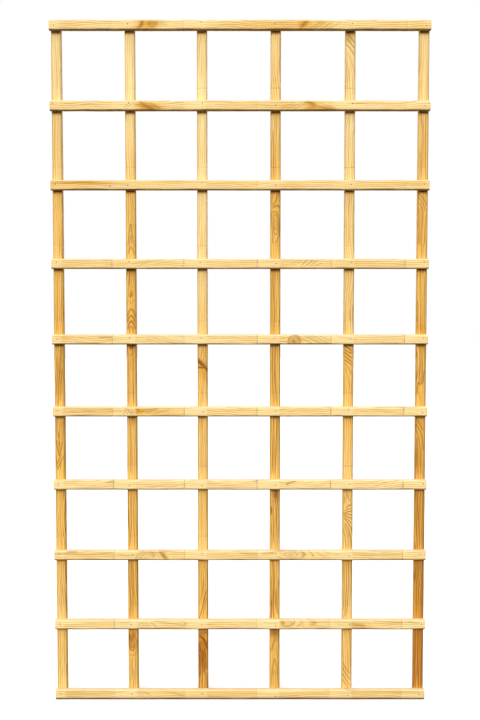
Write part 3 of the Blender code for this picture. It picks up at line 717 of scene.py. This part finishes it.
         (1, 0.4, (1435, -3), (1371, -2), (1279, -5)), (1, 0.34, (1251, -1), (1195, -2), (1123, 1)),
         (1, 0.25, (1062, -3), (989, 1), (904, -3)), (1, 0.22, (1042, -7), (969, -6), (904, -8)),
         (8, 0.55, (1640, -3), (1612, -4)), (1.4, 0.92, (874, -9), (870, -1), (863, 8)),
         (1.2, 0.86, (866, -10), (860, -1), (857, 9)), (1.3, 0.92, (859, -10), (853, -2), (845, 8)),
         (1.2, 0.86, (850, -10), (843, -1), (836, 8)), (1.2, 0.8, (841, -10), (836, -2), (828, 9)),
         (1, 0.57, (833, -9), (823, -1), (806, 7)), (1, 0.46, (823, -8), (802, -2), (774, 3)),
         (1.1, 0.69, (878, -1), (875, 7)), (1.1, 0.46, (518, -4), (501, 1), (491, 7)),
         (1.2, 0.57, (345, 3), (293, 5), (243, 2), (197, -4)),
         (1.2, 0.57, (345, -2), (285, -1), (226, -4), (197, -8)),
         (1.2, 0.52, (345, -7), (276, -7), (218, -9)), (1.1, 0.69, (87, -10), (72, -3), (59, 7)),
         (1.1, 0.75, (74, -11), (57, -2), (44, 8)), (1.1, 0.75, (59, -11), (42, -1), (28, 8)),
         (1.1, 0.69, (44, -11), (31, -2), (23, 4)), (1.5, 0.45, (502, -8), (486, -9)),
         (1.1, 0.7, (475, -4), (480, 2), (482, 9)), (1, 0.5, (482, 0), (484, 9)),
         (1.1, 0.7, (468, -8), (472, 0), (473, 9)), (1.2, 0.8, (462, -9), (466, 1), (467, 11)),
         (1.1, 0.8, (460, -10), (460, 0), (457, 11)), (1.2, 0.85, (457, -10), (453, 1), (448, 11)),
         (1.1, 0.8, (452, -9), (446, 0), (438, 9)),
         (1.1, 0.8, (448, -8), (441, -2), (427, 8), (416, 11)),
         (1.2, 0.75, (438, -8), (433, -3), (416, 4), (395, 8), (375, 9)),
         (1.1, 0.65, (433, -8), (422, -4), (406, 1), (375, 3)),
         (1.1, 0.6, (422, -10), (408, -7), (375, -2))]},
    {"pith": (-30, 20), "ringWidth": 4.6, "sway": 2,
     "warmth": (0.96, 0.9, 0.76, 0.72, 0.58, 0.48, 0.5, 0.28, 0.04),
     "marks": (0.1, 0.2, 0, 0, 0.1, 0.1, 0, 0, 0),
     "stains": [(1190, 0, 50, 10, 0.1), (918, 0, 16, 12, 0.25), (845, -7, 30, 6, -0.15),
                (1240, -6, 16, 7, -0.15)],
     "figured": [(1190, 50, -0.5), (770, 40, -0.4), (640, 50, -0.5), (1540, 90, -0.3)],
     "lines": [
         (1.1, 0.57, (1439, -8), (1399, -1), (1355, -2), (1279, -5)),
         (1, 0.4, (1435, 5), (1371, 3), (1279, 6)), (1, 0.4, (1347, -10), (1315, -7), (1279, -9)),
         (1.2, 0.6, (1244, -10), (1234, 1), (1215, 10)), (1.1, 0.6, (1235, -10), (1221, 1), (1201, 7)),
         (1.2, 0.69, (1224, -10), (1209, -1), (1187, 0), (1123, -5)),
         (1.2, 0.57, (1211, -8), (1187, -6), (1123, -10)), (1.1, 0.46, (1195, 8), (1159, 6), (1123, 5)),
         (1.2, 0.46, (1123, 1), (1089, -2)), (1.3, 0.46, (1062, -6), (1002, -2), (904, -1)),
         (1.1, 0.4, (1042, 5), (985, 6), (904, 7)),
         (1.3, 0.5, (880, -3), (839, -2), (806, -5), (786, -2), (798, 3), (839, 2), (880, 3)),
         (1.6, 0.69, (814, 7), (786, 4), (779, -2), (790, -7), (757, -10)),
         (1.1, 0.46, (765, -7), (749, -1), (728, 2)), (1.2, 0.69, (696, -9), (683, -2), (667, 7)),
         (1.2, 0.69, (683, -10), (671, -3), (650, 5), (617, 7)),
         (1.2, 0.63, (668, -10), (654, -5), (630, 0), (559, 2)),
         (1.6, 0.55, (650, -10), (634, -7), (559, -6)), (1.5, 0.57, (518, 2), (460, -2), (373, 1)),
         (1.5, 0.57, (518, -6), (435, -7), (373, -5)), (2.4, 0.45, (518, 8), (435, 7), (373, 8)),
         (1.5, 0.57, (345, 1), (276, -2), (197, 2)), (1.6, 0.45, (345, -7), (268, -7), (197, -6)),
         (2.6, 0.5, (345, 7), (276, 8), (197, 7)), (1.6, 0.65, (171, 2), (100, -2), (25, 1)),
         (1.6, 0.7, (171, -7), (100, -8), (25, -7)), (3, 0.5, (171, 8), (100, 7), (25, 8))]},
]


# The nails, one a crossing. In the frame those on stiles 3 and 4, away from the end rails, are
# joined to their rails: here these are (right, up) from the crossing's middle, mm.
joinedNails = {
    (1, 2): (1.4, 3.9), (1, 3): (0, 1.3), (2, 2): (0, 5.2), (2, 3): (0, -1.3),
    (3, 2): (-4.8, 3.9), (3, 3): (1.4, 0), (4, 2): (-2.8, 3.9), (4, 3): (-2.8, 3.2),
    (5, 2): (2.1, 0), (5, 3): (0, 2.0), (6, 2): (-1.4, -1.3), (6, 3): (1.4, -1.3),
    (7, 2): (-1.4, 3.9), (7, 3): (2.1, 3.9), (8, 2): (-2.8, 0), (8, 3): (2.1, -3.2),
}


def nailPlaces():    # (x, z) of each nail, by (rail, stile) counted from 0
    places = {}
    for name in nailNames:
        rail, stile = name.split("_")[1:]
        places[int(rail) - 1, int(stile) - 1] = middles[name][[0, 2]]
    for (rail, stile), (right, up) in joinedNails.items():
        places[rail, stile] = (middles[stileNames[stile]][0] + right * mm,
                               middles[railNames[rail]][2] + up * mm)
    return places


def finishPiece(piece, material, slot, *nodes):
    piece.data.materials.append(material)
    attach(piece, "root")
    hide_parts(*nodes)


def makeRails(heads, wood):
    for r, (name, look) in enumerate(zip(railNames, railLooks)):
        left = boxes[name][0][0]
        crossings, nails = [], []
        for s, (stile, mark) in enumerate(zip(stileNames, (0,) + look["marks"])):
            start, end = ((boxes[stile][side][0] - left) / mm for side in (0, 1))
            crossings.append((start - tone["stackMark"], end, mark))
            x, z = heads[r, s]
            nails.append(((x - left) / mm, (z - middles[name][2]) / mm))
        piece = makeBatten(name, 0, look, crossings, [], nails, seed=100 + 50 * r)
        finishPiece(piece, wood, "rail_wood", name)


def makeStiles(wood):
    for s, (name, look) in enumerate(zip(stileNames, stileLooks)):
        bottom = boxes[name][0][2]
        crossings, corners = [], [(boxes[rail][0][2] - bottom) / mm for rail in railNames]
        for rail, mark in zip(railNames[1:], look["marks"]):    # above each rail but the top one
            end, start = ((boxes[rail][side][2] - bottom) / mm for side in (0, 1))
            crossings.append((start + tone["stackMark"], end, mark))
        piece = makeBatten(name, 2, look, crossings, corners, [], seed=900 + 50 * s)
        finishPiece(piece, wood, "stile_wood", name)


nailShape = {
    "sides": 20,
    "headRadius": 1.25,     # mm, as are the rest
    "headThickness": 0.8,
    "dome": 0.12,           # how far the head's middle rises over its rim
    "shankRadius": 0.9,
    "shankLength": 30.0,
    "pointLength": 4.0,
    "below": 0.2,           # depth of the head's top inside the panel's front plane
}


# A nail is a turned profile of radius and depth, swept round its axis:
# point = (x + radius cos t, depth, z + radius sin t). Each rail's six nails are one piece.
def makeNails(heads, steel):
    head, shank, back = nailShape["headRadius"], nailShape["shankRadius"], nailShape["headThickness"]
    dome, tip = nailShape["dome"], nailShape["shankLength"]
    profile = mm * np.array([
        (0.45 * head, 0.0), (0.8 * head, 0.4 * dome), (0.96 * head, dome), (head, 2 * dome),
        (head, back), (1.25 * shank, back + 0.1), (shank, back + 0.6),
        (shank, tip - nailShape["pointLength"]), (0.1 * shank, tip),
    ])
    turn = 2 * np.pi * np.arange(nailShape["sides"]) / nailShape["sides"]
    radius, depth = profile[:, :1], profile[:, 1:] + nailShape["below"] * mm + frontY
    for r in range(len(railNames)):
        grids, poles = [], []
        for s in range(len(stileNames)):
            x, z = heads[r, s]
            grids.append(np.stack([x + radius * np.cos(turn), depth + 0 * turn,
                                   z + radius * np.sin(turn)], -1))
            poles.append(np.array([(x, depth[0, 0], z), (x, depth[-1, 0], z)]))
        piece = makePiece("nailsRail%02d" % (r + 1), grids, poles, sharpAngle=50)
        finishPiece(piece, steel, "nail_steel",
                    *[n for n in nailNames if n.startswith("nail_%02d" % (r + 1))])


# Pine, planed and dipped in a honey preservative: a dry, faintly silky surface whose pale early
# wood and darker late wood lines run along the batten, browner where the dip stayed longer. Painted
# shade and a painted highlight from the battens' fields lie over it.
pine = {
    # Early and late wood are pale, honey or brown, by the warmth field. Resin is a filter over the
    # wood, on the single lines of resin and dense grain.
    "rail": {"early": ("#FFE7A6", "#F0BC57", "#D28E32"), "late": ("#DCA050", "#B4701C", "#7C460E"),
             "resin": "#A08848"},
    "stile": {"early": ("#FFE5A2", "#F8C461", "#DA8F2C"), "late": ("#DE9E48", "#B2721C", "#7C460C"),
              "resin": "#946E08"},
    # What lies over the wood, in this order, each as its colour and the most that it covers
    "over": {
        "paintedHighlight": ("#F0DEB4", 1),    # painted highlight on the rails' upper arris, where the light falls
        "knot": ("#9C5A18", 1),
        "stackLine": ("#7A5228", 0.8),
        "sawn": ("#D9AE6C", 0.5),
        "paintedShade": ("#50300C", 0.78),    # painted shade: the lower and side arrises, the rails' undersides over the stiles, and the corners under the rails
    },
    # How late the wood is over the width of a growth ring: it darkens slowly and stops short
    "ring": ((0, 0.35), (0.1, 0.0), (0.55, 0.12), (0.86, 1.0), (1, 0.35)),
    "ringWobble": 0.25,               # how far the fibres move it, in ring widths
    "fibre": (0.9, 55, 3.0),          # width and length in mm, and detail; a real fibre is 0.03 mm
                                      # wide, drawn coarse enough to show
    "fibreShade": (0.85, 1.1),        # how dark and how light it makes the wood
    "fibreSpan": (0.3, 0.7),          # over this much of its noise
    "fibreRelief": 0.6,               # its height, where the late wood's is 1
    "streak": (5, 280, 2.0),          # the same for streaks of warmer and cooler wood
    "streakPlay": 0.35,               # how far they move the warmth
    "paler": 0.12,                    # how far a stacking stick's paler stretch moves the warmth
    "fainter": 0.4,                   # and how much fainter its rings are
    "roughLate": 0.55, "roughEarly": 0.72,
    "ior": 1.4,
    "gloss": 0.28,                    # open grain scatters most of the sheen
    "relief": 0.12,                   # height of the late wood over the early, mm
    "reliefStrength": 0.6,
}


def pineMaterial(name, along, tones):
    material, tree = newMaterial(name)
    place = addNode(tree, "TexCoord").outputs["Object"]
    field = {key: addNode(tree, "Attribute", attribute_name=key).outputs["Fac"]
             for key in ("rings", "figure", "grain", "warmth", "knot", "pale", "stackLine", "sawn",
                         "paintedHighlight", "paintedShade")}
    noises = []
    for width, length, detail in (pine["fibre"], pine["streak"]):    # drawn out along the batten
        scale = [1 / (width * mm)] * 3
        scale[along] = 1 / (length * mm)
        drawn = addNode(tree, "Mapping", {"Vector": place, "Scale": scale})
        noises.append(addNode(tree, "TexNoise", {"Vector": drawn, "Scale": 1.0, "Detail": detail}))
    fibre, streak = noises

    # The late wood's share: the place in a growth ring, through its ramp
    phase = addNode(tree, "Math", (fibre, pine["ringWobble"], field["rings"]), operation="MULTIPLY_ADD")
    phase = addNode(tree, "Math", (phase,), operation="FRACT")
    late = addNode(tree, "ValToRGB", (phase,))
    stops = late.color_ramp.elements
    for position, _ in pine["ring"][1:-1]:
        stops.new(position)
    for stop, (_, grey) in zip(stops, pine["ring"]):
        stop.color = (grey, grey, grey, 1)
    plain = addNode(tree, "Math", (field["pale"], -pine["fainter"], 1.0), operation="MULTIPLY_ADD")
    for factor in (field["figure"], plain):
        late = addNode(tree, "Math", (late, factor), operation="MULTIPLY")

    # The warmth picks the tones of early and late wood
    warmth = addNode(tree, "Math", (streak, 0.5), operation="SUBTRACT")
    warmth = addNode(tree, "Math", (warmth, pine["streakPlay"], field["warmth"]),
                     operation="MULTIPLY_ADD")
    warmth = addNode(tree, "Math", (field["pale"], -pine["paler"], warmth), operation="MULTIPLY_ADD")
    ramps = []
    for colours in (tones["early"], tones["late"]):
        ramps.append(addNode(tree, "ValToRGB", (warmth,)))
        ramps[-1].color_ramp.elements.new(0.5)
        for stop, colour in zip(ramps[-1].color_ramp.elements, colours):
            stop.color = linear(colour)
    wood = addNode(tree, "Mix", {"Factor": late, 6: ramps[0], 7: ramps[1]}, data_type="RGBA")

    wood = addNode(tree, "Mix", {"Factor": field["grain"], 6: wood, 7: linear(tones["resin"])},
                   data_type="RGBA", blend_type="MULTIPLY")
    for key, (colour, most) in pine["over"].items():
        share = addNode(tree, "Math", (field[key], most), operation="MULTIPLY")
        wood = addNode(tree, "Mix", {"Factor": share, 6: wood, 7: linear(colour)}, data_type="RGBA")
    (dark, light), (low, high) = pine["fibreShade"], pine["fibreSpan"]
    shade = addNode(tree, "MapRange", {"Value": fibre, "From Min": low, "From Max": high,
                                       "To Min": dark, "To Max": light})
    wood = addNode(tree, "VectorMath", (wood, shade), operation="MULTIPLY")

    rough = addNode(tree, "MapRange", {"Value": late, "To Min": pine["roughEarly"],
                                       "To Max": pine["roughLate"]})
    height = addNode(tree, "Math", (late, field["grain"]), operation="MAXIMUM")
    height = addNode(tree, "Math", (fibre, pine["fibreRelief"], height), operation="MULTIPLY_ADD")
    relief = addNode(tree, "Bump", {"Height": height, "Distance": pine["relief"] * mm,
                                    "Strength": pine["reliefStrength"]})
    shader = addNode(tree, "BsdfPrincipled", {"Base Color": wood, "Roughness": rough,
                                              "IOR": pine["ior"], "Normal": relief,
                                              "Specular IOR Level": pine["gloss"]})
    addNode(tree, "OutputMaterial", {"Surface": shader})
    return material


# Bright wire nails, dulled: drawn steel with a thin brown film, so the heads read as dark dots.
steelFinish = {
    "clean": "#4A4036", "tarnished": "#281C12",
    "patch": 1.2,                 # mm, size of the patches of film
    "patchSpan": (0.35, 0.65),    # how softly the two blend, over this much of the patches' noise
    "roughness": (0.38, 0.62),
}


def steelMaterial():
    material, tree = newMaterial("dulled nail steel")
    place = addNode(tree, "TexCoord").outputs["Object"]
    patches = addNode(tree, "TexNoise", {"Vector": place, "Scale": 1 / (steelFinish["patch"] * mm),
                                         "Detail": 3.0})
    (low, high), (smooth, rough) = steelFinish["patchSpan"], steelFinish["roughness"]
    share = addNode(tree, "MapRange", {"Value": patches, "From Min": low, "From Max": high})
    clean, tarnished = linear(steelFinish["clean"]), linear(steelFinish["tarnished"])
    colour = addNode(tree, "Mix", {"Factor": share, 6: clean, 7: tarnished}, data_type="RGBA")
    rough = addNode(tree, "MapRange", {"Value": patches, "To Min": smooth, "To Max": rough})
    shader = addNode(tree, "BsdfPrincipled", {"Base Color": colour, "Metallic": 1.0, "Roughness": rough})
    addNode(tree, "OutputMaterial", {"Surface": shader})
    return material


# Stage: a white floor and surround, one large soft key lamp in front, two weaker ones at the back,
# and a sky that is dim low down and bright overhead.
studio = {
    "floorSize": 14.0,          # metres
    "floorDrop": 0.2,           # mm below the bottom rail
    "floorGlow": 0.35,          # added for the camera alone, so that the lit floor reads as white
    "floorSeen": "#E6E6E6",
    "floorBounce": "#303030",   # what the floor sends back up to the wood
    "skyLevel": 0.25, "skyTop": 1.8, "skyRise": 0.4,    # the sky brightens above this height
    "keyLeft": 12, "keyUp": 20, "lampSpread": 26,       # degrees
    "keyStrength": 2.8,
    "backLeft": 140, "backUp": 5, "backStrength": 1.15,    # a pair, for the back and the sides
}


def whiteForCamera(tree):    # 1 for rays that should meet the plain white surround
    path = addNode(tree, "LightPath")
    seen = path.outputs["Is Camera Ray"]
    for ray in ("Is Glossy Ray", "Is Transmission Ray"):
        seen = addNode(tree, "Math", (seen, path.outputs[ray]), operation="MAXIMUM")
    return seen


def makeStage():
    reach, level = studio["floorSize"], cadLow[2] - studio["floorDrop"] * mm
    mesh = bpy.data.meshes.new("studioFloor")
    mesh.from_pydata([(-reach, -reach, level), (reach, -reach, level), (reach, reach, level),
                      (-reach, reach, level)], [], [(0, 1, 2, 3)])
    floor = addObject("studioFloor", mesh)
    material, tree = newMaterial("matt white studio floor")
    lit = addNode(tree, "BsdfDiffuse", {"Color": linear(studio["floorSeen"])})
    glow = addNode(tree, "Emission", {"Strength": studio["floorGlow"]})
    seen = addNode(tree, "AddShader", (lit, glow))
    bounced = addNode(tree, "BsdfDiffuse", {"Color": linear(studio["floorBounce"])})
    surface = addNode(tree, "MixShader", (whiteForCamera(tree), bounced, seen))
    addNode(tree, "OutputMaterial", {"Surface": surface})
    mesh.materials.append(material)

    world = bpy.data.worlds.new("studioWorld")
    bpy.context.scene.world = world
    world.use_nodes = True
    tree = world.node_tree
    tree.nodes.clear()
    direction = addNode(tree, "TexCoord").outputs["Generated"]
    height = addNode(tree, "SeparateXYZ", (direction,)).outputs["Z"]
    strength = addNode(tree, "MapRange", {"Value": height, "From Min": studio["skyRise"],
                                          "To Min": studio["skyLevel"], "To Max": studio["skyTop"]})
    sky = addNode(tree, "Background", {"Strength": strength})
    white = addNode(tree, "Background", {"Color": (1, 1, 1, 1), "Strength": 1.0})
    surface = addNode(tree, "MixShader", (whiteForCamera(tree), sky, white))
    addNode(tree, "OutputWorld", {"Surface": surface})

    for name, side in (("key", 1), ("back", 1), ("back", -1)):
        lamp = bpy.data.lights.new(name + "Lamp", "SUN")
        lamp.energy, lamp.angle = studio[name + "Strength"], math.radians(studio["lampSpread"])
        light = addObject(name + "Lamp", lamp)
        light.rotation_euler = (math.radians(90 - studio[name + "Up"]), 0,
                                math.radians(-side * studio[name + "Left"]))
    bpy.context.scene.view_settings.view_transform = "Standard"


makeCamera()
print("camera set")
railWood = pineMaterial("honey dipped pine rail", 0, pine["rail"])
stileWood = pineMaterial("honey dipped pine stile", 2, pine["stile"])
steel = steelMaterial()
print("materials made")
heads = nailPlaces()
makeRails(heads, railWood)
print("rails made")
makeStiles(stileWood)
print("stiles made")
makeNails(heads, steel)
print("nails made")
makeStage()
print("stage made")
